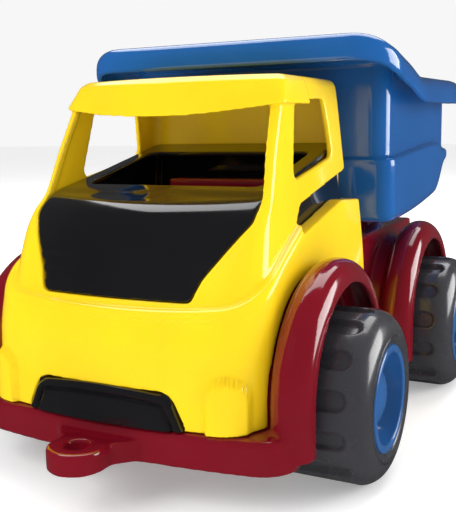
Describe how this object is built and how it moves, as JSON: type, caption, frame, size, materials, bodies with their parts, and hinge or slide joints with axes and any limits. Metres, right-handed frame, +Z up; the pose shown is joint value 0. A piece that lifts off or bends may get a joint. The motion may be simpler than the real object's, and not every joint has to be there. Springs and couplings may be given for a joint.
{
  "type": "push along truck",
  "caption": "Toy tipper truck with an open-windowed cab, full-width mudguards, soft tyres, a tow eye and a bed that tips to the rear.",
  "frame": {"origin": "on the ground, under the middle of the truck's bounding box", "axes": "+Z up, the truck faces -Y, its left side is +X"},
  "size_m": [0.194, 0.29, 0.1853],
  "materials": {
    "yellow_plastic": "glossy moulded plastic",
    "red_plastic": "glossy moulded plastic",
    "blue_plastic": "glossy moulded plastic",
    "black_plastic": "glossy moulded plastic",
    "hub_plastic": "glossy moulded plastic",
    "tyre": "semi-gloss soft plastic",
    "steel": "bright drawn wire"
  },
  "bodies": {
    "truck_frame": {"chassis": "red_plastic", "bed_hinge_pin": "steel", "cab_shell": "yellow_plastic", "cab_liner": "black_plastic", "front_grille": "black_plastic", "cab_screws": "steel"},
    "bed": {"dump_bed": "blue_plastic"},
    "front_wheels": {"front_axle": "steel", "front_left_tyre": "tyre", "front_right_tyre": "tyre", "front_left_hub": "hub_plastic", "front_right_hub": "hub_plastic", "front_left_hub_cap": "hub_plastic", "front_right_hub_cap": "hub_plastic"},
    "rear_wheels": {"rear_axle": "steel", "rear_left_tyre": "tyre", "rear_right_tyre": "tyre", "rear_left_hub": "hub_plastic", "rear_right_hub": "hub_plastic", "rear_left_hub_cap": "hub_plastic", "rear_right_hub_cap": "hub_plastic"}
  },
  "joints": [
    {"name": "bed_tip", "type": "hinge", "parent": "truck_frame", "child": "bed", "pos_m": [0, 0.1205, 0.093], "axis": [-1, 0, 0], "range_deg": [0, 50]},
    {"name": "front_axle_spin", "type": "hinge", "parent": "truck_frame", "child": "front_wheels", "pos_m": [0, -0.0585, 0.035], "axis": [1, 0, 0], "continuous": true},
    {"name": "rear_axle_spin", "type": "hinge", "parent": "truck_frame", "child": "rear_wheels", "pos_m": [0, 0.0805, 0.035], "axis": [1, 0, 0], "continuous": true}
  ]
}
